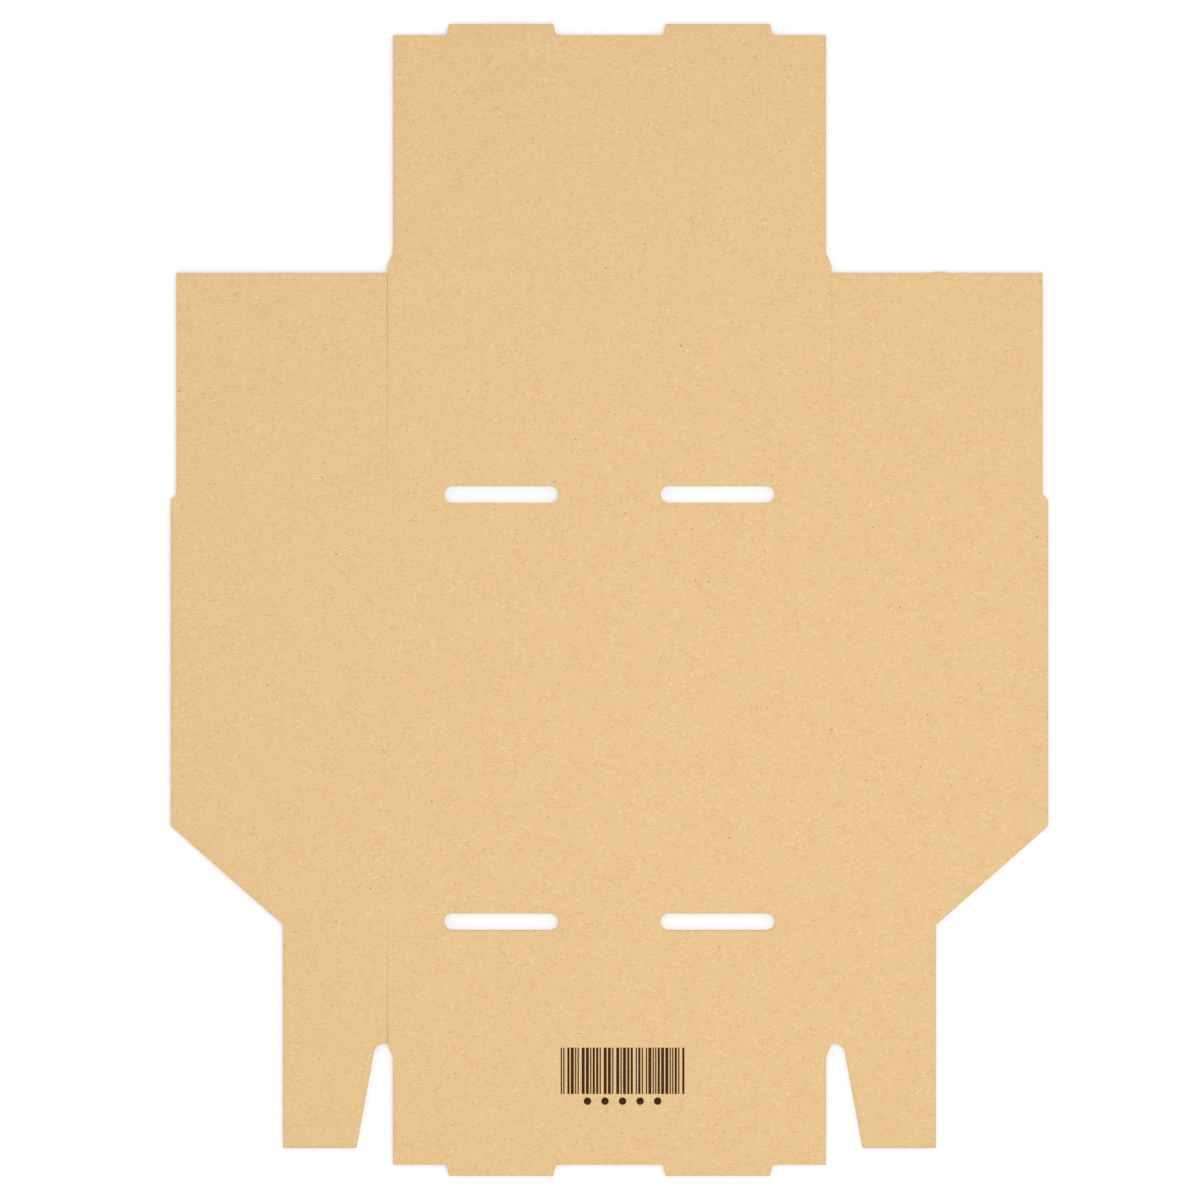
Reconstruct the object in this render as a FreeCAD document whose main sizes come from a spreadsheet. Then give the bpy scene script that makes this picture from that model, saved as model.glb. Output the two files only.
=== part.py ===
import FreeCAD, Part
import os

import Sketcher

# Flattened die-cut blank of an open-fronted shelf bin, in corrugated board.
# It lies flat, outer face up: +Y runs from the low front wall to the high back
# wall, +X to the right, and the underside with its folding creases is at z = 0.
# The outline is drawn for the right half from the middle of the floor panel
# and mirrored, and the whole blank is then moved so that the origin is the
# centre of its bounding box on the surface that it lies on.

DRIVING_SIZES = {
    "board_thickness": 3.0,
    "floor_width": 200.0,
    "floor_length": 200.0,
    "back_wall": 99.0,
    "front_wall": 51.0,
    "back_lining_relief": 1.0,
    "front_lining_relief": 2.5,
    "lining_clearance": 1.0,
    "side_front_relief": 4.0,
    "slope_run": 44.5,
    "front_hinge_ease": 0.5,
    "back_flap_gap": 1.0,
    "back_flap_relief": 2.5,
    "step_drop": 0.8,
    "front_flap_lap": 0.5,
    "front_flap_tip": 33.0,
    "shoulder_width": 5.4,
    "tab_spacing": 97.5,
    "tab_root_width": 49.5,
    "tab_tip_width": 47.0,
    "tab_reach": 5.0,
    "tab_clearance": 1.0,
    "slot_ease": 0.1,
    "knife_root_gap": 0.05,
    "knife_mouth_gap": 0.15,
    "crease_width": 2.6,
    "crease_depth": 0.9,
    "crease_slant": 45.0,
    "crease_stop": 2.0,
    "panel_corner_radius": 0.4,
    "tab_corner_radius": 0.5,
    "tab_root_radius": 1.0,
    "shoulder_radius": 5.0,
    "hem_radius": 4.0,
    "step_radius": 1.0,
    "nick_place": 48.5,
    "nick_width": 8.0,
    "nick_height": 0.5,
    "nick_slant": 2.5,
}


class Length:
    """A size in mm, kept with the expression that binds it to the spreadsheet."""

    def __init__(self, value, text):
        self.value = value
        self.text = text

    def combined(self, other, sign, value):
        return Length(value, "(" + self.text + " " + sign + " " + as_length(other).text + ")")

    def __add__(self, other):
        return self.combined(other, "+", self.value + as_length(other).value)

    def __sub__(self, other):
        return self.combined(other, "-", self.value - as_length(other).value)

    def __mul__(self, factor):
        return self.combined(factor, "*", self.value * factor)

    def __truediv__(self, divisor):
        return self.combined(divisor, "/", self.value / divisor)

    def __neg__(self):
        return Length(-self.value, "(-1 * " + self.text + ")")


def as_length(number):
    return number if isinstance(number, Length) else Length(float(number), repr(float(number)))


def make_sheet(doc):
    sheet = doc.addObject("Spreadsheet::Sheet", "sizes")
    for row, (name, value) in enumerate(DRIVING_SIZES.items(), start=1):
        sheet.set("A" + str(row), str(value))
        sheet.setAlias("A" + str(row), name)
    doc.recompute()
    return {name: Length(value, "sizes." + name) for name, value in DRIVING_SIZES.items()}


def worked_out(size):
    """Every crease, edge and hinge line of the blank, from the driving sizes."""
    line = {}
    board = size["board_thickness"]
    line["wall_side"] = size["floor_width"] / 2
    line["floor_back"] = size["floor_length"] / 2
    line["floor_front"] = -line["floor_back"]

    # A hem wraps over the dust flap, so it is two boards wide.
    hem = board * 2
    line["back_hem_outer"] = line["floor_back"] + size["back_wall"]
    line["back_hem_inner"] = line["back_hem_outer"] + hem
    line["front_hem_outer"] = line["floor_front"] - size["front_wall"]
    line["front_hem_inner"] = line["front_hem_outer"] - hem

    # The lining panels drop between the side walls and stand on the floor.
    line["lining_side"] = line["wall_side"] - board / 2 - size["lining_clearance"]
    back_lining = size["back_wall"] - size["back_lining_relief"]
    front_lining = size["front_wall"] - size["front_lining_relief"]
    line["lining_back"] = line["back_hem_inner"] + back_lining
    line["lining_front"] = line["front_hem_inner"] - front_lining

    # The side walls stand half a board lower than the back wall's hem.
    side_height = size["back_wall"] - board / 2
    side_front_height = size["front_wall"] - size["side_front_relief"]
    line["side_top"] = line["wall_side"] + side_height
    line["side_front_top"] = line["wall_side"] + side_front_height

    # Each dust flap folds one board inside the wall that it lines.
    line["back_hinge"] = line["floor_back"] - board
    line["front_hinge"] = line["floor_front"] + board - size["front_hinge_ease"]
    line["slope_top"] = line["front_hinge"] + size["slope_run"]
    back_flap_length = line["wall_side"] - size["back_flap_gap"]
    front_flap_length = line["wall_side"] + size["front_flap_lap"]
    line["back_flap_end"] = line["back_hinge"] + back_flap_length
    line["front_flap_end"] = line["front_hinge"] - front_flap_length
    line["back_flap_top"] = line["side_top"] - size["back_flap_relief"]
    line["step_outer"] = line["back_hinge"] - size["step_drop"]
    line["step_inner"] = line["step_outer"] - size["back_flap_relief"]
    line["front_flap_tip"] = line["side_front_top"] - size["front_flap_tip"]
    line["shoulder"] = line["wall_side"] + size["shoulder_width"]

    # The tabs of the linings go into the slots beside the floor's creases.
    line["tab_middle"] = size["tab_spacing"] / 2
    line["tab_root_near"] = line["tab_middle"] - size["tab_root_width"] / 2
    line["tab_root_far"] = line["tab_middle"] + size["tab_root_width"] / 2
    line["tab_tip_near"] = line["tab_middle"] - size["tab_tip_width"] / 2
    line["tab_tip_far"] = line["tab_middle"] + size["tab_tip_width"] / 2
    line["back_tab_end"] = line["lining_back"] + size["tab_reach"]
    line["front_tab_end"] = line["lining_front"] - size["tab_reach"]
    line["slot_near"] = line["tab_root_near"] - size["tab_clearance"]
    line["slot_far"] = line["tab_root_far"] + size["tab_clearance"]
    line["slot_width"] = board * 2.5 + size["slot_ease"]
    return line


def add_sketch(body, name):
    sketch = body.newObject("Sketcher::SketchObject", name)
    base_plane = [item for item in body.Origin.OriginFeatures if item.Role == "XY_Plane"]
    sketch.AttachmentSupport = (base_plane[0], [""])
    sketch.MapMode = "FlatFace"
    return sketch


def bind(sketch, constraint, name, length):
    index = sketch.addConstraint(constraint)
    sketch.renameConstraint(index, name)
    sketch.setExpression("Constraints." + name, length.text)


def bind_point(sketch, geometry, point, name, place):
    """Holds one end of a line at its two distances from the middle of the floor."""
    for direction, axis, length in (("X", -2, place[0]), ("Y", -1, place[1])):
        if length.value == 0.0:
            sketch.addConstraint(Sketcher.Constraint("PointOnObject", geometry, point, axis))
            continue
        kind = "Distance" + direction
        constraint = Sketcher.Constraint(kind, -1, 1, geometry, point, length.value)
        bind(sketch, constraint, name + direction, length)


def draw_polygon(sketch, name, corners):
    points = [FreeCAD.Vector(across.value, along.value, 0) for across, along in corners]
    first = sketch.GeometryCount
    count = len(points)
    for number in range(count):
        sketch.addGeometry(Part.LineSegment(points[number], points[(number + 1) % count]), False)
    for number in range(count):
        following = first + (number + 1) % count
        sketch.addConstraint(Sketcher.Constraint("Coincident", first + number, 2, following, 1))
    for number, corner in enumerate(corners):
        bind_point(sketch, first + number, 1, name + str(number), corner)


def draw_rectangle(sketch, name, near, far, low, high):
    draw_polygon(sketch, name, [(near, low), (far, low), (far, high), (near, high)])


def draw_slot(sketch, name, near, far, low, high):
    """A slot with full round ends, as the bent knife that punches it leaves it."""
    radius = (high - low) / 2
    corners = [(near + radius, low), (far - radius, low), (far - radius, high), (near + radius, high)]
    points = [FreeCAD.Vector(across.value, along.value, 0) for across, along in corners]
    middle = (low + radius).value
    far_crown = FreeCAD.Vector(far.value, middle, 0)
    near_crown = FreeCAD.Vector(near.value, middle, 0)
    first = sketch.GeometryCount
    sketch.addGeometry(Part.LineSegment(points[0], points[1]), False)
    sketch.addGeometry(Part.Arc(points[1], far_crown, points[2]), False)
    sketch.addGeometry(Part.LineSegment(points[2], points[3]), False)
    sketch.addGeometry(Part.Arc(points[3], near_crown, points[0]), False)
    # A flat side runs into each arc, and the arcs run counter-clockwise.
    sketch.addConstraint(Sketcher.Constraint("Tangent", first, 2, first + 1, 1))
    sketch.addConstraint(Sketcher.Constraint("Tangent", first + 1, 2, first + 2, 1))
    sketch.addConstraint(Sketcher.Constraint("Tangent", first + 2, 2, first + 3, 1))
    sketch.addConstraint(Sketcher.Constraint("Coincident", first + 3, 2, first, 1))
    bind_point(sketch, first, 1, name + "start", corners[0])
    bind_point(sketch, first, 2, name + "end", corners[1])
    bind_point(sketch, first + 2, 2, name + "back", corners[3])


def half_outline(line):
    """The right half of the blank, from the back lining round to the front lining."""
    middle = as_length(0)
    return [
        (middle, line["lining_back"]),
        (line["tab_root_near"], line["lining_back"]),
        (line["tab_tip_near"], line["back_tab_end"]),
        (line["tab_tip_far"], line["back_tab_end"]),
        (line["tab_root_far"], line["lining_back"]),
        (line["lining_side"], line["lining_back"]),
        (line["lining_side"], line["back_hem_inner"]),
        (line["wall_side"], line["back_hem_outer"]),
        (line["wall_side"], line["back_flap_end"]),
        (line["back_flap_top"], line["back_flap_end"]),
        (line["back_flap_top"], line["step_outer"]),
        (line["side_top"], line["step_inner"]),
        (line["side_top"], line["slope_top"]),
        (line["side_front_top"], line["front_hinge"]),
        (line["side_front_top"], line["front_flap_end"]),
        (line["front_flap_tip"], line["front_flap_end"]),
        (line["shoulder"], line["front_hem_outer"]),
        (line["wall_side"], line["front_hem_outer"]),
        (line["lining_side"], line["front_hem_inner"]),
        (line["lining_side"], line["lining_front"]),
        (line["tab_root_far"], line["lining_front"]),
        (line["tab_tip_far"], line["front_tab_end"]),
        (line["tab_tip_near"], line["front_tab_end"]),
        (line["tab_root_near"], line["lining_front"]),
        (middle, line["lining_front"]),
    ]


def rounded_corners(line):
    """The radius of each kind of corner, with the places in the outline that have it."""
    return {
        "panel_corner_radius": [
            (line["lining_side"], line["lining_back"]),
            (line["lining_side"], line["lining_front"]),
            (line["back_flap_top"], line["back_flap_end"]),
            (line["side_front_top"], line["front_flap_end"]),
            (line["front_flap_tip"], line["front_flap_end"]),
            (line["side_top"], line["slope_top"]),
        ],
        "tab_corner_radius": [
            (line["tab_tip_near"], line["back_tab_end"]),
            (line["tab_tip_far"], line["back_tab_end"]),
            (line["tab_tip_near"], line["front_tab_end"]),
            (line["tab_tip_far"], line["front_tab_end"]),
        ],
        "tab_root_radius": [
            (line["tab_root_near"], line["lining_back"]),
            (line["tab_root_far"], line["lining_back"]),
            (line["tab_root_near"], line["lining_front"]),
            (line["tab_root_far"], line["lining_front"]),
        ],
        "step_radius": [
            (line["back_flap_top"], line["step_outer"]),
            (line["side_top"], line["step_inner"]),
        ],
        "hem_radius": [
            (line["lining_side"], line["back_hem_inner"]),
            (line["lining_side"], line["front_hem_inner"]),
        ],
        "shoulder_radius": [
            (line["shoulder"], line["front_hem_outer"]),
        ],
    }


def upright_edges(shape, places):
    """Names of the edges that stand upright at the given places of the outline."""
    tolerance = 0.001
    names = []
    for number, edge in enumerate(shape.Edges, start=1):
        start, end = (vertex.Point for vertex in (edge.Vertexes[0], edge.Vertexes[-1]))
        upright = abs(start.z - end.z) > tolerance and abs(start.x - end.x) < tolerance
        for across, along in places:
            offset = abs(start.x - across.value) + abs(start.y - along.value)
            if upright and offset < tolerance:
                names.append("Edge" + str(number))
    if len(names) != len(places):
        raise RuntimeError("an outline corner was not found")
    return names


def round_corners(doc, body, line):
    for radius_name, places in rounded_corners(line).items():
        base = body.Tip
        rounded = body.newObject("PartDesign::Fillet", "rounded_" + radius_name)
        rounded.Base = (base, upright_edges(base.Shape, places))
        rounded.setExpression("Radius", "sizes." + radius_name)
        body.Tip = rounded
        doc.recompute()


def cut_through(doc, body, sketch, name):
    before = body.Tip.Shape.Volume
    pocket = body.newObject("PartDesign::Pocket", name)
    pocket.Profile = sketch
    pocket.Type = "ThroughAll"
    pocket.Reversed = True
    body.Tip = pocket
    doc.recompute()
    if pocket.Shape.Volume >= before:
        raise RuntimeError(name + " took nothing away")


def punch_slots(doc, body, line):
    sketch = add_sketch(body, "slot_sketch")
    back_edge = line["floor_back"]
    front_edge = line["floor_front"]
    width = line["slot_width"]
    draw_slot(sketch, "back", line["slot_near"], line["slot_far"], back_edge - width, back_edge)
    draw_slot(sketch, "front", line["slot_near"], line["slot_far"], front_edge, front_edge + width)
    cut_through(doc, body, sketch, "lining_slots")


def cut_flaps_free(doc, body, size, line):
    """Knife cuts that part each dust flap from its wall and open a little towards its end."""
    sketch = add_sketch(body, "knife_sketch")
    overrun = size["knife_mouth_gap"] * 5
    inner = line["wall_side"]
    root = inner + size["knife_root_gap"]
    mouth = inner + size["knife_mouth_gap"]
    cuts = {
        "back": (line["back_hinge"], line["back_flap_end"] + overrun),
        "front": (line["front_hinge"], line["front_hem_outer"] - overrun),
    }
    for name, (hinge, end) in cuts.items():
        draw_polygon(sketch, name, [(inner, hinge), (root, hinge), (mouth, end), (inner, end)])
    cut_through(doc, body, sketch, "knife_cuts")


def press_creases(doc, body, size, line):
    """Folding creases: shallow troughs in the underside, each stopped short of the cuts."""
    sketch = add_sketch(body, "crease_sketch")
    half = size["crease_width"] / 2
    stop = size["crease_stop"]
    past_middle = -size["crease_width"]

    hems = ("back_hem_outer", "back_hem_inner", "front_hem_outer", "front_hem_inner")
    for name in hems:
        edge = line["lining_side"] if name.endswith("inner") else line["wall_side"]
        draw_rectangle(sketch, name, past_middle, edge - stop, line[name] - half, line[name] + half)

    for name in ("floor_back", "floor_front"):
        low = line[name] - half
        high = line[name] + half
        draw_rectangle(sketch, name + "_mid", past_middle, line["slot_near"] - stop, low, high)
        draw_rectangle(sketch, name + "_end", line["slot_far"] + stop, line["wall_side"] - stop, low, high)

    side = line["wall_side"]
    low = line["front_hinge"] + stop
    high = line["back_hinge"] - stop
    draw_rectangle(sketch, "side", side - half, side + half, low, high)

    for name, edge in (("back_hinge", line["back_flap_top"]), ("front_hinge", line["side_front_top"])):
        low = line[name] - half
        high = line[name] + half
        draw_rectangle(sketch, name, side + stop, edge - stop, low, high)

    before = body.Tip.Shape.Volume
    pocket = body.newObject("PartDesign::Pocket", "creases")
    pocket.Profile = sketch
    pocket.Type = "Length"
    pocket.Reversed = True
    pocket.setExpression("Length", size["crease_depth"].text)
    pocket.setExpression("TaperAngle", (-size["crease_slant"]).text)
    body.Tip = pocket
    doc.recompute()
    if pocket.Shape.Volume >= before:
        raise RuntimeError("the creases took nothing away")


def mirror_half(doc, body):
    mirrored = body.newObject("PartDesign::Mirrored", "both_halves")
    side_plane = [item for item in body.Origin.OriginFeatures if item.Role == "YZ_Plane"]
    mirrored.MirrorPlane = (side_plane[0], [""])
    mirrored.TransformMode = "Whole shape"
    body.Tip = mirrored
    doc.recompute()


def add_nick(doc, body, size, line):
    """The stub that held the right back flap to the sheet before it was broken out."""
    sketch = add_sketch(body, "nick_sketch")
    middle = line["wall_side"] + size["nick_place"]
    half = size["nick_width"] / 2
    edge = line["back_flap_end"]
    top = edge + size["nick_height"]
    slant = size["nick_slant"]
    root = edge - size["nick_height"]
    draw_polygon(sketch, "nick", [
        (middle - half, root),
        (middle + half, root),
        (middle + half, edge),
        (middle + half - slant, top),
        (middle - half + slant, top),
        (middle - half, edge),
    ])
    pad = body.newObject("PartDesign::Pad", "torn_nick")
    pad.Profile = sketch
    pad.setExpression("Length", size["board_thickness"].text)
    body.Tip = pad
    doc.recompute()


def make_blank(doc, size):
    line = worked_out(size)
    body = doc.addObject("PartDesign::Body", "carton_blank")
    body.Label = "carton_blank"

    outline = add_sketch(body, "half_outline")
    draw_polygon(outline, "corner", half_outline(line))
    board = body.newObject("PartDesign::Pad", "board")
    board.Profile = outline
    board.setExpression("Length", size["board_thickness"].text)
    body.Tip = board
    doc.recompute()

    round_corners(doc, body, line)
    punch_slots(doc, body, line)
    cut_flaps_free(doc, body, size, line)
    press_creases(doc, body, size, line)
    mirror_half(doc, body)
    add_nick(doc, body, size, line)

    shift = -(line["back_tab_end"] + line["front_tab_end"]) / 2
    body.setExpression("Placement.Base.y", shift.text)
    doc.recompute()
    return body


def check_document(doc, bodies):
    for item in doc.Objects:
        if "Invalid" in item.State or "Error" in item.State:
            raise RuntimeError(item.Name + " failed to build")
    for body in bodies:
        if body.Shape.isNull() or not body.Shape.isValid() or len(body.Shape.Solids) != 1:
            raise RuntimeError(body.Label + " is not one sound solid")


def main():
    doc = FreeCAD.newDocument("carton_blank_model")
    size = make_sheet(doc)
    bodies = [make_blank(doc, size)]
    check_document(doc, bodies)
    os.makedirs("parts", exist_ok=True)
    for body in bodies:
        body.Shape.exportStep(os.path.join("parts", body.Label + ".step"))
        box = body.Shape.BoundBox
        print(body.Label, "volume", round(body.Shape.Volume), "mm3")
        print("box", round(box.XLength, 3), round(box.YLength, 3), round(box.ZLength, 3), "mm")


main()
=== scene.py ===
import math
import random

import bmesh
import bpy
import numpy as np
from mathutils import Matrix, Vector
from mathutils.geometry import delaunay_2d_cdt


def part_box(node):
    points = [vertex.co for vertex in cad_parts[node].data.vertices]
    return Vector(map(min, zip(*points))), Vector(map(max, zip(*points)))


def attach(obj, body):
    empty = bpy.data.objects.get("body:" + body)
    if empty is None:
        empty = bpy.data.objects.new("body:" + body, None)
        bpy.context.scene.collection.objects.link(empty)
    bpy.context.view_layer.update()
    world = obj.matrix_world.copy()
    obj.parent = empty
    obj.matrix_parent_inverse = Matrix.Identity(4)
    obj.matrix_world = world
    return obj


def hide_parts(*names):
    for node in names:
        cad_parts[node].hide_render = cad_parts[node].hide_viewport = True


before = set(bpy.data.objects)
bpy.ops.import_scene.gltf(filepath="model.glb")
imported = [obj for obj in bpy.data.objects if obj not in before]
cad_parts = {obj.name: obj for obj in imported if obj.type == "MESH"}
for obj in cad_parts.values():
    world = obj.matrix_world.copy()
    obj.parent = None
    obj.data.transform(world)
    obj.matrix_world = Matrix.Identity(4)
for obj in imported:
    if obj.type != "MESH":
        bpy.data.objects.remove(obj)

# The looks of a flattened corrugated blank: two liners with the flutes between
# them, soft cut edges, pressed creases underneath and a patch of printed bars.
# Lengths are in metres.

NODE = "carton_blank"
MM = 0.001
TOLERANCE = 0.01 * MM
WELD = 0.1 * TOLERANCE

# The board, from its faces inwards.
LINER_THICKNESS = 0.32 * MM
FLUTE_THICKNESS = 0.24 * MM
FLUTE_PITCH = 6.5 * MM
FLUTE_STEPS = 8
FLUTE_PHASE = 0.35

# A cut edge is pinched, more on its outer face, and the pinch fades out over a short way.
PINCH_OUTER = 0.40 * MM
PINCH_INNER = 0.12 * MM
PINCH_REACH = 1.6 * MM
PINCH_RINGS = (0.25 * MM, 0.6 * MM, 1.1 * MM, 1.6 * MM)

# The four knife cuts beside the walls, by side of the blank: how far each gapes at its
# root and at its mouth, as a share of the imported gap, which is narrower than CUT_ROOT at
# the root. A cut's edges are pinched less than the outline's.
CUT_PLACE = 100 * MM
CUT_WIDEST = 0.2 * MM
CUT_ROOT = 0.1 * MM
CUT_GAPES = {(-1, 1): (0.4, 1), (1, 1): (0.3, 0.4), (-1, -1): (0.05, 1.1), (1, -1): (0.1, 0.1)}
CUT_PINCH = 0.3

# Grid lines of the liners away from edges and creases, the closest that two ruled lines
# may lie, the least share of a corner's mitre, and the angle from which an edge is sharp.
GRID_SPACING = 16 * MM
LINES_APART = 0.1 * MM
MITRE_LEAST = 0.4
SHARP_DEGREES = 35

# Lines across a crease's trough, in shares of the reach of its rounded sides.
CREASE_STEPS = (1, 0.75, 0.5, 0.25, 0)
CREASE_WIDEST = 4 * MM

# The printed mark: a patch of bars, a row of dots in front of it, and the ink's thickness.
PRINT_LEFT = -22.0 * MM
PRINT_RIGHT = 33.7 * MM
PRINT_BACK = -201.4 * MM
PRINT_FRONT = -222.3 * MM
INK_THICKNESS = 0.02 * MM
PRINT_SEED = 6684
BAR_WIDTHS = (0.6 * MM, 0.6 * MM, 1.0 * MM, 1.35 * MM)
GAP_WIDTHS = (0.55 * MM, 0.55 * MM, 0.55 * MM, 1.25 * MM)
DOT_COUNT = 5
DOT_SPACING = 7.9 * MM
DOT_DROP = 3.2 * MM
DOT_RADIUS = 1.7 * MM
DOT_SIDES = 32

# The ground lies a hair under the board, so that no two faces coincide. The rays that
# are shorter than SKIM_LENGTH pass it.
FLOOR_REACH = 6.0
FLOOR_GAP = 0.05 * MM
SKIM_LENGTH = 2 * MM
CORNER_SIGNS = ((-1, -1), (1, -1), (1, 1), (-1, 1))

# The photograph spans 540 mm and looks straight down; the light is a tent with a key.
FRAME_WIDTH = 540 * MM
CAMERA_HEIGHT = 1.6
VIEW_CENTRE = (-4.3 * MM, 0.0)
TENT_STRENGTH = 0.70
TENT_TINT = (1, 0.975, 0.965)
KEY_PLACE = (0.13, -0.10, 1.0)
KEY_SIZE = 0.6
KEY_POWER = 3.5
KEY_TINT = (0.97, 1, 1)

KRAFT = (0.822, 0.564, 0.2875)
INK = (0.043, 0.015, 0.003)
INK_THIN = (0.09, 0.04, 0.018)
GROUND = (0.90, 0.82, 0.80)

# Roughness and specular level.
LINER_FINISH = (0.9, 0.2)
INK_FINISH = (0.8, 0.1)
GROUND_FINISH = (1.0, 0.0)

# A darker or paler tone shifts green and blue more than red, as recycled fibres do.
TONE_SPREAD = (0.92, 1.3, 1.8)
TONE_RANGE = 0.25

# Noise lies mostly between these values.
NOISE_SPREAD = (0.25, 0.75)
NOISE_ROUGHNESS = 0.6

# Layers of the liner's tone: cells per metre along x, y and z, and strength.
# The fibres come in patches, the clouds lie under all.
FIBRE_LAYERS = (
    ((420, 1900, 1900), 0.073),
    ((1900, 550, 1900), 0.051),
    ((900, 900, 900), 0.028),
)
CLOUD_LAYERS = (
    ((300, 300, 300), 0.018),
    ((100, 100, 100), 0.010),
)
PATCH_CELLS = (210, 280, 240)
PATCH_SPREAD = (0.40, 0.62)
PATCH_DEPTH = (0.08, 1.55)

# Flecks are where the noise is highest or lowest. Specks are few, stronger and apart.
FLECK_CELLS = ((650, 1300, 700), (1300, 700, 700))
PALE_FLECKS = (0.68, 0.78)
DARK_FLECKS = (0.32, 0.22)
FLECK_STRENGTH = 0.20
SPECK_CELLS = (650, 850, 750)
SPECK_SHARE = 0.0011
SPECK_REACH = (0.15, 0.45)
SPECK_TINTS = {"Red": (0.42, 0.25, 0.11), "Green": (0.95, 0.76, 0.50)}
MEDIUM_TONE = -0.06

# The liner's relief, in millimetres, and where the ink is thin.
GRAIN_CELLS = (1400, 1400, 1400)
GRAIN_HEIGHT = 0.02
RIDGE_HEIGHT = 0.05
WEAR_CELLS = (1300, 1300, 1300)
WEAR_SPREAD = (0.45, 0.75)

# The white that the camera sees over the ground, so that it stays clear of grey: near the
# blank and far from it, and where the one turns into the other.
GROUND_LIFT = (0.174, 0.276, 0.300)
GROUND_LIFT_FAR = (0.40, 0.47, 0.49)
GROUND_LIFT_REACH = (0.25, 0.50)

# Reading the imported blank

def welded(node):
    """The node's mesh as a bmesh with its seams joined."""
    mesh = bmesh.new()
    mesh.from_mesh(node.data)
    bmesh.ops.remove_doubles(mesh, verts=mesh.verts, dist=WELD)
    return mesh


def flat_region(node, height):
    """Only the faces of the node that lie flat at one height, as a bmesh."""
    mesh = welded(node)
    others = [f for f in mesh.faces if any(abs(v.co.z - height) > TOLERANCE for v in f.verts)]
    bmesh.ops.delete(mesh, geom=others, context="FACES")
    return mesh


def crease_troughs(node, top):
    """Each crease pressed into the underside: its floor's box and depth, from the frame."""
    mesh = welded(node)
    heights = set()
    for face in mesh.faces:
        levels = [v.co.z for v in face.verts]
        flat = max(levels) - min(levels) < TOLERANCE
        if flat and TOLERANCE < levels[0] < top - TOLERANCE:
            heights.add(round(levels[0], 6))
    depth = min(heights)
    mesh.free()
    floors = flat_region(node, depth)
    troughs = []
    for island in islands(floors):
        corners = np.array([v.co[:2] for f in island for v in f.verts])
        troughs.append((corners.min(0), corners.max(0)))
    floors.free()
    return depth, troughs


def islands(mesh):
    """The groups of faces of a bmesh that hang together."""
    left = dict.fromkeys(mesh.faces)
    groups = []
    while left:
        group = [left.popitem()[0]]
        for face in group:
            for edge in face.edges:
                for other in edge.link_faces:
                    if other in left:
                        left.pop(other)
                        group.append(other)
        groups.append(group)
    return groups


def boundary_loops(mesh):
    """The cut edges of a flat sheet as closed loops of points, the board on their left."""
    following = {}
    for face in mesh.faces:
        for loop in face.loops:
            if loop.edge.is_boundary:
                following[loop.vert] = loop.link_loop_next.vert
    upward = next(iter(mesh.faces)).normal.z > 0
    loops = []
    while following:
        first = next(iter(following))
        chain = [first]
        while following[chain[-1]] is not first:
            chain.append(following.pop(chain[-1]))
        following.pop(chain[-1])
        points = np.array([v.co[:2] for v in chain])
        loops.append(points if upward else points[::-1])
    return loops


def inward_normals(loop):
    run = np.roll(loop, -1, axis=0) - loop
    run /= np.hypot(*run.T)[:, None]
    return np.column_stack([-run[:, 1], run[:, 0]])


def inset(loop, distance):
    """The loop moved into the board by a distance, with mitred corners."""
    after = inward_normals(loop)
    before = np.roll(after, 1, axis=0)
    share = np.maximum(1 + (before * after).sum(1), MITRE_LEAST)
    return loop + distance * (before + after) / share[:, None]


def on_cut(loop):
    """Which points of a loop lie on a knife cut."""
    return np.abs(np.abs(loop[:, 0]) - CUT_PLACE) < CUT_WIDEST


def closed_cuts(loop):
    """The loop with the gap of each knife cut brought to that cut's shares."""
    side = np.where(loop < 0, -1, 1)
    middle = side[:, 0] * CUT_PLACE
    offset = loop[:, 0] - middle
    root, mouth = np.array([CUT_GAPES[x, y] for x, y in side.tolist()]).T
    gape = np.where(np.abs(offset) < CUT_ROOT, root, mouth)
    drawn = loop.copy()
    drawn[:, 0] = np.where(on_cut(loop), middle + gape * offset, loop[:, 0])
    return drawn


def distance_to_run(points, start, end):
    run = end - start
    share = np.clip((points - start) @ run / (run @ run), 0, 1)
    return np.hypot(*(points - start - share[:, None] * run).T)


def inside(points, loops):
    """Whether each point lies on the board: an odd number of cut edges to its right."""
    odd = np.zeros(len(points), bool)
    x, y = points.T
    for loop in loops:
        for start, end in zip(loop, np.roll(loop, -1, axis=0)):
            if start[1] == end[1]:
                continue
            level = (start[1] > y) != (end[1] > y)
            crossing = start[0] + (y - start[1]) / (end[1] - start[1]) * (end[0] - start[0])
            odd ^= level & (x < crossing)
    return odd


# Sheets and shells

def thinned(values):
    """Sorted values without those that lie too close to the one before."""
    kept = []
    for value in sorted(values):
        if not kept or value - kept[-1] > LINES_APART:
            kept.append(value)
    return kept


def triangulated(loops, across, along):
    """The board's flat form as triangles that follow its edges, their rings and ruled lines."""
    points, edges = [], []
    for loop in loops:
        for ring in (0, *PINCH_RINGS):
            first = len(points)
            count = len(loop)
            points += inset(loop, ring).tolist()
            edges += [(first + number, first + (number + 1) % count) for number in range(count)]
    low, high = np.min(points, axis=0), np.max(points, axis=0)
    for x in thinned(across):
        edges.append((len(points), len(points) + 1))
        points += [(x, low[1]), (x, high[1])]
    for y in thinned(along):
        edges.append((len(points), len(points) + 1))
        points += [(low[0], y), (high[0], y)]
    # The triangulation works in millimetres, where its tolerance is well behaved.
    flat = [Vector(point) / MM for point in points]
    made = delaunay_2d_cdt(flat, edges, [], 0, TOLERANCE / MM, False)
    places = np.array([tuple(v) for v in made[0]]) * MM
    faces = np.array(made[2])
    centres = places[faces].mean(1)
    faces = faces[inside(centres, loops)]
    return places, faces.tolist()


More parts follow.
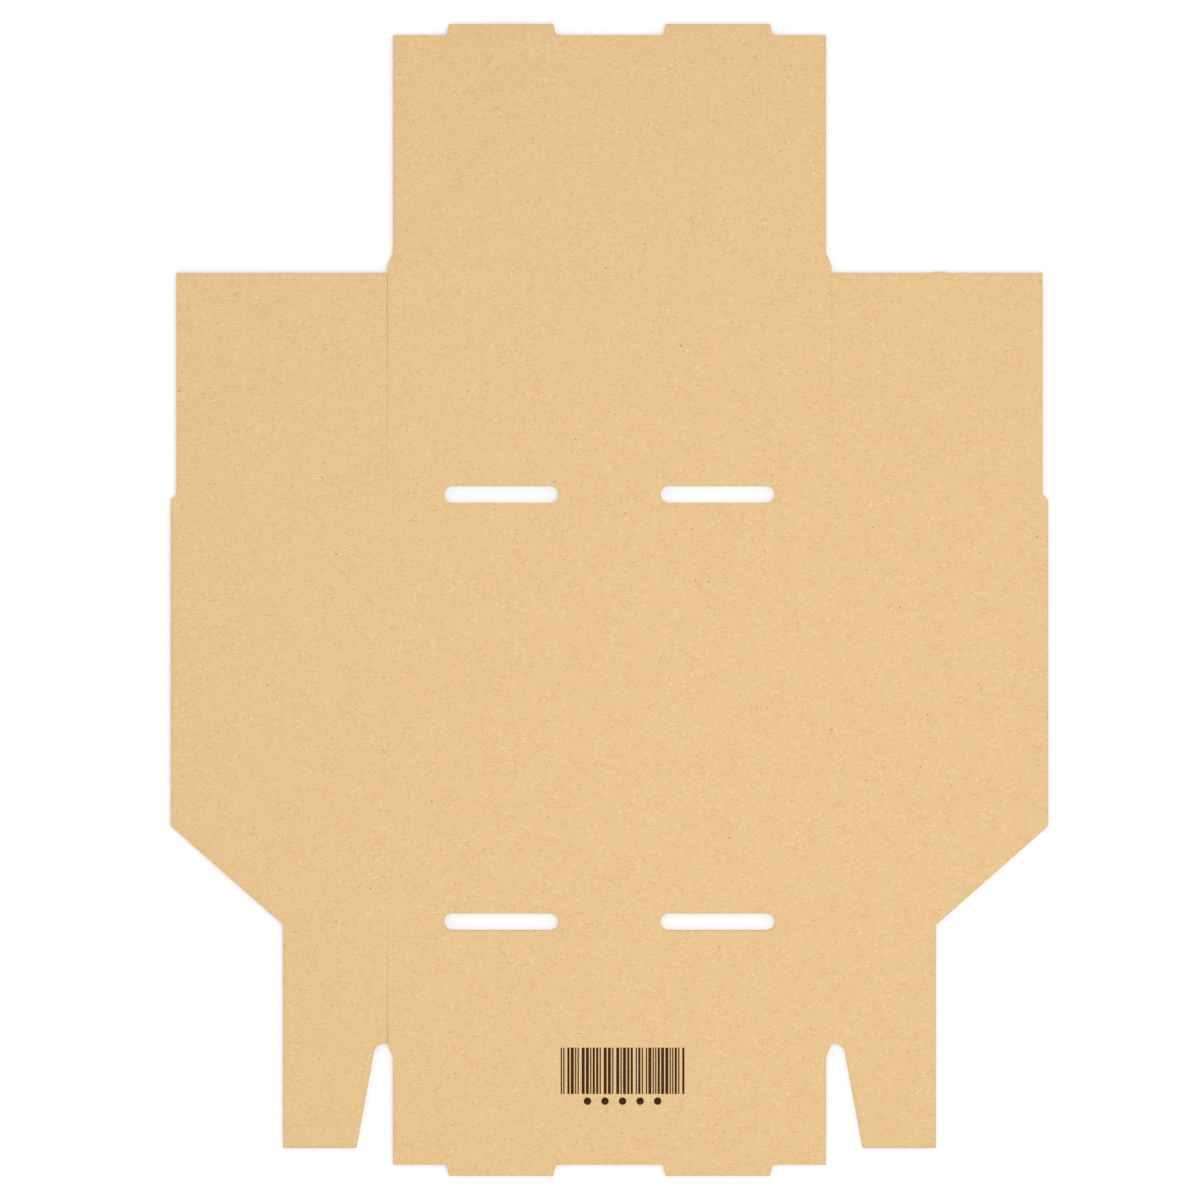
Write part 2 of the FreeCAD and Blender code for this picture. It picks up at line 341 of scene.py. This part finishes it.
def cut_between(mesh, faces, axis, lines):
    """Cuts faces along parallel lines, halving the lines and the faces at each step."""
    if not lines or not faces:
        return
    middle = len(lines) // 2
    place, normal = [0, 0, 0], [0, 0, 0]
    place[axis], normal[axis] = lines[middle], 1
    edges = dict.fromkeys(edge for face in faces for edge in face.edges)
    corners = dict.fromkeys(corner for face in faces for corner in face.verts)
    cut = bmesh.ops.bisect_plane(mesh, geom=[*faces, *edges, *corners], dist=WELD,
                                 plane_co=place, plane_no=normal)
    faces = [part for part in cut["geom"] if isinstance(part, bmesh.types.BMFace)]
    before = [f for f in faces if f.calc_center_median()[axis] < lines[middle]]
    after = [f for f in faces if f.calc_center_median()[axis] >= lines[middle]]
    cut_between(mesh, before, axis, lines[:middle])
    cut_between(mesh, after, axis, lines[middle + 1:])


def ruled(sheet, across, along):
    """The sheet cut along x and y lines, as points and faces without slanted inner edges."""
    cut_between(sheet, list(sheet.faces), 0, thinned(across))
    cut_between(sheet, list(sheet.faces), 1, thinned(along))
    slanted = []
    for edge in sheet.edges:
        run = edge.verts[1].co - edge.verts[0].co
        if abs(run.x) > TOLERANCE and abs(run.y) > TOLERANCE and not edge.is_boundary:
            slanted.append(edge)
    bmesh.ops.dissolve_edges(sheet, edges=slanted, use_verts=False)
    sheet.verts.index_update()
    points = np.array([v.co[:2] for v in sheet.verts])
    faces = []
    for face in sheet.faces:
        corners = [v.index for v in face.verts]
        faces.append(corners if face.normal.z > 0 else corners[::-1])
    return points, faces


def grid_lines(low, high):
    count = round((high - low) / GRID_SPACING)
    return [low + (high - low) * step / count for step in range(1, count)]


def shell(name, points, faces, upper, lower):
    """A closed thin body over a flat sheet, between two heights given at each point."""
    count = len(points)
    sides = dict.fromkeys(side for face in faces for side in zip(face, face[1:] + face[:1]))
    walls = [side for side in sides if side[::-1] not in sides]
    skin = list(faces)
    skin += [[count + corner for corner in reversed(face)] for face in faces]
    skin += [[there, here, count + here, count + there] for here, there in walls]
    high = np.column_stack([points, upper(points)])
    low = np.column_stack([points, lower(points)])
    mesh = bpy.data.meshes.new(name)
    mesh.from_pydata(np.vstack([high, low]).tolist(), [], skin)
    mesh.shade_smooth()
    mesh.set_sharp_from_angle(angle=math.radians(SHARP_DEGREES))
    piece = bpy.data.objects.new(name, mesh)
    bpy.context.scene.collection.objects.link(piece)
    return piece


def smoothstep(share):
    share = np.clip(share, 0, 1)
    return share * share * (3 - 2 * share)


class Board:
    """The heights of the board's faces at any point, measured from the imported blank."""

    def __init__(self, node):
        self.low, self.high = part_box(NODE)
        self.top = self.high.z
        self.sheet = flat_region(node, self.top)
        self.loops = [closed_cuts(loop) for loop in boundary_loops(self.sheet)]
        self.crease_depth, self.troughs = crease_troughs(node, self.top)
        # The troughs' walls slope at 45 degrees, so each is one depth wider all round.
        self.crease_reach = self.crease_depth

    def pinch(self, points):
        """How far a point is pinched, from 1 on the outline to 0 away from it."""
        pinch = np.zeros(len(points))
        for loop in self.loops:
            ends = np.roll(loop, -1, axis=0)
            strengths = np.where(on_cut(loop) & on_cut(ends), CUT_PINCH, 1)
            for start, end, strength in zip(loop, ends, strengths):
                nearness = np.clip(1 - distance_to_run(points, start, end) / PINCH_REACH, 0, 1)
                pinch = np.maximum(pinch, strength * nearness ** 2)
        return pinch

    def trough(self, points):
        """How far the underside is pressed up at each point."""
        press = np.zeros(len(points))
        for low, high in self.troughs:
            beyond = np.maximum(np.maximum(low - points, points - high), 0)
            gap = np.hypot(*beyond.T)
            press = np.maximum(press, self.crease_depth * (1 - smoothstep(gap / self.crease_reach)))
        return press

    def outer_face(self, points):
        return self.top - PINCH_OUTER * self.pinch(points)

    def inner_face(self, points):
        return np.maximum(PINCH_INNER * self.pinch(points), self.trough(points))

    def crease_lines(self, shares):
        """Lines across and along the sheet that follow each crease's rounded trough."""
        lines = ([], [])
        for low, high in self.troughs:
            for axis in (0, 1):
                length = high[axis] - low[axis]
                steps = shares if length < CREASE_WIDEST else (1, 0)
                lines[axis].extend(low[axis] - self.crease_reach * step for step in steps)
                lines[axis].extend(high[axis] + self.crease_reach * step for step in steps)
        return lines

    def grid(self):
        return grid_lines(self.low.x, self.high.x), grid_lines(self.low.y, self.high.y)


def make_outer_liner(board):
    points, faces = triangulated(board.loops, *board.grid())

    def under(places):
        return board.outer_face(places) - LINER_THICKNESS

    return shell("outer_liner", points, faces, board.outer_face, under)


def make_inner_liner(board):
    across, along = board.grid()
    crease_across, crease_along = board.crease_lines(CREASE_STEPS)
    points, faces = triangulated(board.loops, across + crease_across, along + crease_along)

    def over(places):
        return board.inner_face(places) + LINER_THICKNESS

    return shell("inner_liner", points, faces, over, board.inner_face)


def make_flutes(board):
    """The waved medium, glued between the liners, with its flutes running along Y."""
    step = FLUTE_PITCH / FLUTE_STEPS
    first = math.ceil(board.low.x / step)
    last = math.floor(board.high.x / step)
    across = [number * step for number in range(first, last + 1)]
    points, faces = ruled(board.sheet, across, board.crease_lines((1, 0))[1])

    # The medium's middle line swings between the liners, and keeps its thickness on the slopes.
    floor = board.inner_face(points) + LINER_THICKNESS
    roof = board.outer_face(points) - LINER_THICKNESS
    swing = roof - floor - FLUTE_THICKNESS
    phase = 2 * math.pi * (points[:, 0] / FLUTE_PITCH + FLUTE_PHASE)
    middle = floor + 0.5 * FLUTE_THICKNESS + swing * (0.5 + 0.5 * np.cos(phase))
    slope = math.pi * swing / FLUTE_PITCH * np.sin(phase)
    half = 0.5 * FLUTE_THICKNESS * np.sqrt(1 + slope ** 2)
    return shell("flutes", points, faces, lambda _: middle + half, lambda _: middle - half)


# The printed mark

def bar_places():
    """The left and right side of each bar, at seeded widths and gaps, across the patch."""
    generator = random.Random(PRINT_SEED)
    places = []
    left = PRINT_LEFT
    while left < PRINT_RIGHT - min(BAR_WIDTHS):
        right = min(left + generator.choice(BAR_WIDTHS), PRINT_RIGHT)
        places.append((left, right))
        left = right + generator.choice(GAP_WIDTHS)
    return places


def make_mark(board):
    """A patch of upright bars with a row of dots in front of it."""
    mesh = bmesh.new()
    low = board.top - 0.5 * INK_THICKNESS
    high = board.top + INK_THICKNESS
    for left, right in bar_places():
        add_block(mesh, (left, PRINT_FRONT, low), (right, PRINT_BACK, high))
    for number in range(DOT_COUNT):
        across = (PRINT_LEFT + PRINT_RIGHT) / 2 + (number - (DOT_COUNT - 1) / 2) * DOT_SPACING
        add_dot(mesh, (across, PRINT_FRONT - DOT_DROP), low, high)
    data = bpy.data.meshes.new("printed_mark")
    mesh.to_mesh(data)
    mesh.free()
    piece = bpy.data.objects.new("printed_mark", data)
    bpy.context.scene.collection.objects.link(piece)
    return piece


def add_block(mesh, low, high):
    for vertex in bmesh.ops.create_cube(mesh, size=1)["verts"]:
        for axis in range(3):
            vertex.co[axis] = high[axis] if vertex.co[axis] > 0 else low[axis]


def add_dot(mesh, middle, low, high):
    place = Matrix.Translation((*middle, (low + high) / 2))
    bmesh.ops.create_cone(mesh, cap_ends=True, segments=DOT_SIDES, radius1=DOT_RADIUS,
                          radius2=DOT_RADIUS, depth=high - low, matrix=place)


# Materials

class Nodes:
    """A short way to add and join the nodes of one material or world."""

    def __init__(self, owner, shader):
        owner.use_nodes = True
        self.owner = owner
        self.tree = owner.node_tree
        self.shader = self.tree.nodes[shader]

    def add(self, kind, **settings):
        node = self.tree.nodes.new(kind)
        for name, value in settings.items():
            setattr(node, name, value)
        return node

    def link(self, source, target):
        self.tree.links.new(source, target)

    def place(self):
        return self.add("ShaderNodeTexCoord").outputs["Object"]

    def scaled(self, scale):
        node = self.add("ShaderNodeMapping")
        node.inputs["Scale"].default_value = scale
        self.link(self.place(), node.inputs["Vector"])
        return node.outputs["Vector"]

    def noise(self, cells, detail=2.0):
        """Noise with so many cells per metre along x, y and z."""
        node = self.add("ShaderNodeTexNoise")
        node.inputs["Scale"].default_value = 1.0
        node.inputs["Detail"].default_value = detail
        node.inputs["Roughness"].default_value = NOISE_ROUGHNESS
        self.link(self.scaled(cells), node.inputs["Vector"])
        return node.outputs["Fac"]

    def ridges(self, pitch):
        """Soft bands along Y, as the flutes show through a liner."""
        node = self.add("ShaderNodeTexWave")
        # At a scale of 1, this texture's bands come every pi / 10.
        node.inputs["Scale"].default_value = math.pi / 10 / pitch
        self.link(self.place(), node.inputs["Vector"])
        return node.outputs["Fac"]

    def specks(self, channel):
        """1 in the few cells' middles that a channel of their random colour picks, else 0."""
        cells = self.add("ShaderNodeTexVoronoi")
        cells.inputs["Scale"].default_value = 1.0
        self.link(self.scaled(SPECK_CELLS), cells.inputs["Vector"])
        split = self.add("ShaderNodeSeparateColor")
        self.link(cells.outputs["Color"], split.inputs["Color"])
        chosen = self.maths("LESS_THAN", split.outputs[channel], SPECK_SHARE)
        near = self.spread(cells.outputs["Distance"], *SPECK_REACH, 1.0, 0.0)
        return self.maths("MULTIPLY", chosen, near)

    def layer(self, cells, strength):
        """Noise that swings about nought by a strength."""
        return self.spread(self.noise(cells), *NOISE_SPREAD, -strength, strength)

    def sum(self, values):
        values = list(values)
        total = values[0]
        for value in values[1:]:
            total = self.maths("ADD", total, value)
        return total

    def spread(self, value, low, high, start, end):
        node = self.add("ShaderNodeMapRange")
        node.inputs["From Min"].default_value = low
        node.inputs["From Max"].default_value = high
        node.inputs["To Min"].default_value = start
        node.inputs["To Max"].default_value = end
        self.link(value, node.inputs["Value"])
        return node.outputs["Result"]

    def mix(self, factor, first, second):
        node = self.add("ShaderNodeMix", data_type="RGBA")
        self.link(factor, node.inputs["Factor"])
        for socket, value in ((node.inputs[6], first), (node.inputs[7], second)):
            if isinstance(value, tuple):
                socket.default_value = value
            else:
                self.link(value, socket)
        return node.outputs[2]

    def maths(self, operation, first, second):
        node = self.add("ShaderNodeMath", operation=operation)
        for socket, value in zip(node.inputs, (first, second)):
            if isinstance(value, float):
                socket.default_value = value
            else:
                self.link(value, socket)
        return node.outputs[0]

    def seen(self):
        """1 for what is seen, straight on or in gloss and glass, and 0 for what gives light."""
        rays = self.add("ShaderNodeLightPath").outputs
        mirrored = self.maths("MAXIMUM", rays["Is Glossy Ray"], rays["Is Transmission Ray"])
        return self.maths("MAXIMUM", rays["Is Camera Ray"], mirrored)

    def finish(self, roughness, specular):
        self.shader.inputs["Roughness"].default_value = roughness
        self.shader.inputs["Specular IOR Level"].default_value = specular

    def bump(self, height, distance):
        node = self.add("ShaderNodeBump")
        node.inputs["Distance"].default_value = distance
        self.link(height, node.inputs["Height"])
        self.link(node.outputs["Normal"], self.shader.inputs["Normal"])


def material_nodes(name):
    return Nodes(bpy.data.materials.new(name), "Principled BSDF")


def toned(colour, tone):
    return tuple(c * (1 + tone * spread) for c, spread in zip(colour, TONE_SPREAD)) + (1,)


def liner_material(name, tone):
    """Kraft liner: short fibres both ways, a cloudy tone, pale and dark flecks and specks."""
    nodes = material_nodes(name)
    fibres = nodes.sum(nodes.layer(cells, strength) for cells, strength in FIBRE_LAYERS)
    patches = nodes.spread(nodes.noise(PATCH_CELLS), *PATCH_SPREAD, *PATCH_DEPTH)
    fibres = nodes.maths("MULTIPLY", fibres, patches)
    clouds = nodes.sum(nodes.layer(cells, strength) for cells, strength in CLOUD_LAYERS)
    flecks = []
    for cells in FLECK_CELLS:
        noise = nodes.noise(cells, detail=1.0)
        flecks.append(nodes.spread(noise, *PALE_FLECKS, 0.0, FLECK_STRENGTH))
        flecks.append(nodes.spread(noise, *DARK_FLECKS, 0.0, -FLECK_STRENGTH))
    total = nodes.sum([fibres, clouds, *flecks])
    share = nodes.spread(total, -TONE_RANGE - tone, TONE_RANGE - tone, 0.0, 1.0)
    colour = nodes.mix(share, toned(KRAFT, -TONE_RANGE), toned(KRAFT, TONE_RANGE))
    for channel, tint in SPECK_TINTS.items():
        colour = nodes.mix(nodes.specks(channel), colour, (*tint, 1))
    nodes.link(colour, nodes.shader.inputs["Base Color"])
    nodes.finish(*LINER_FINISH)
    grain = nodes.maths("MULTIPLY", nodes.noise(GRAIN_CELLS, detail=3.0), GRAIN_HEIGHT)
    ridges = nodes.maths("MULTIPLY", nodes.ridges(FLUTE_PITCH), RIDGE_HEIGHT)
    nodes.bump(nodes.maths("ADD", grain, ridges), MM)
    return nodes.owner


def ink_material():
    """Flexo ink on kraft: dark brown, a little thin where the paper is rough."""
    nodes = material_nodes("brown_ink")
    wear = nodes.spread(nodes.noise(WEAR_CELLS), *WEAR_SPREAD, 0.0, 1.0)
    colour = nodes.mix(wear, (*INK, 1), (*INK_THIN, 1))
    nodes.link(colour, nodes.shader.inputs["Base Color"])
    nodes.finish(*INK_FINISH)
    return nodes.owner


def floor_material():
    """Matt white ground, lifted to plain white for the camera where no shadow lies.

    It is open to view from below and to the short rays that leave the underside, so that
    the underside is lit when it is seen.
    """
    nodes = material_nodes("white_floor")
    nodes.shader.inputs["Base Color"].default_value = (*GROUND, 1)
    nodes.finish(*GROUND_FINISH)
    side = nodes.add("ShaderNodeNewGeometry").outputs
    length = nodes.add("ShaderNodeLightPath").outputs["Ray Length"]
    front = nodes.maths("SUBTRACT", 1.0, side["Backfacing"])
    away = nodes.maths("GREATER_THAN", length, SKIM_LENGTH)
    nodes.link(nodes.maths("MULTIPLY", front, away), nodes.shader.inputs["Alpha"])
    reach = nodes.add("ShaderNodeVectorMath", operation="LENGTH")
    nodes.link(side["Position"], reach.inputs[0])
    share = nodes.spread(reach.outputs["Value"], *GROUND_LIFT_REACH, 0.0, 1.0)
    lift = nodes.mix(share, (*GROUND_LIFT, 1), (*GROUND_LIFT_FAR, 1))
    nodes.link(lift, nodes.shader.inputs["Emission Color"])
    nodes.link(nodes.seen(), nodes.shader.inputs["Emission Strength"])
    return nodes.owner


# Floor, light and camera

def make_floor():
    mesh = bpy.data.meshes.new("floor")
    corners = [(x * FLOOR_REACH, y * FLOOR_REACH, -FLOOR_GAP) for x, y in CORNER_SIGNS]
    mesh.from_pydata(corners, [], [(0, 1, 2, 3)])
    floor = bpy.data.objects.new("floor", mesh)
    bpy.context.scene.collection.objects.link(floor)
    floor.data.materials.append(floor_material())


def light_scene():
    """A bright tent all round, and a soft key from the lower right of the picture."""
    tent = Nodes(bpy.data.worlds.new("tent"), "Background")
    glow = tuple(TENT_STRENGTH * tint for tint in TENT_TINT)
    tent.link(tent.mix(tent.seen(), (*glow, 1), (1, 1, 1, 1)), tent.shader.inputs["Color"])
    bpy.context.scene.world = tent.owner

    key = bpy.data.lights.new("key", "AREA")
    key.size = KEY_SIZE
    key.energy = KEY_POWER
    key.color = KEY_TINT
    holder = bpy.data.objects.new("key", key)
    holder.location = KEY_PLACE
    holder.rotation_euler = (-Vector(KEY_PLACE)).to_track_quat("-Z", "Y").to_euler()
    holder.visible_camera = False
    bpy.context.scene.collection.objects.link(holder)


def add_camera():
    camera = bpy.data.cameras.new("camera")
    camera.sensor_fit = "HORIZONTAL"
    height = CAMERA_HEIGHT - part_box(NODE)[1].z
    camera.angle = 2 * math.atan(0.5 * FRAME_WIDTH / height)
    holder = bpy.data.objects.new("camera", camera)
    holder.location = (*VIEW_CENTRE, CAMERA_HEIGHT)
    bpy.context.scene.collection.objects.link(holder)
    bpy.context.scene.camera = holder


def main():
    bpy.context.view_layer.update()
    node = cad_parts[NODE]
    board = Board(node)
    kraft = liner_material("kraft_liner", 0.0)
    medium = liner_material("kraft_medium", MEDIUM_TONE)

    pieces = [
        (make_outer_liner(board), kraft),
        (make_flutes(board), medium),
        (make_inner_liner(board), kraft),
    ]
    for piece, material in pieces:
        piece.data.materials.append(material)
        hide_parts(NODE)
        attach(piece, "root")

    mark = make_mark(board)
    mark.data.materials.append(ink_material())
    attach(mark, "root")

    make_floor()
    light_scene()
    add_camera()
    bpy.context.scene.view_settings.view_transform = "Standard"


main()
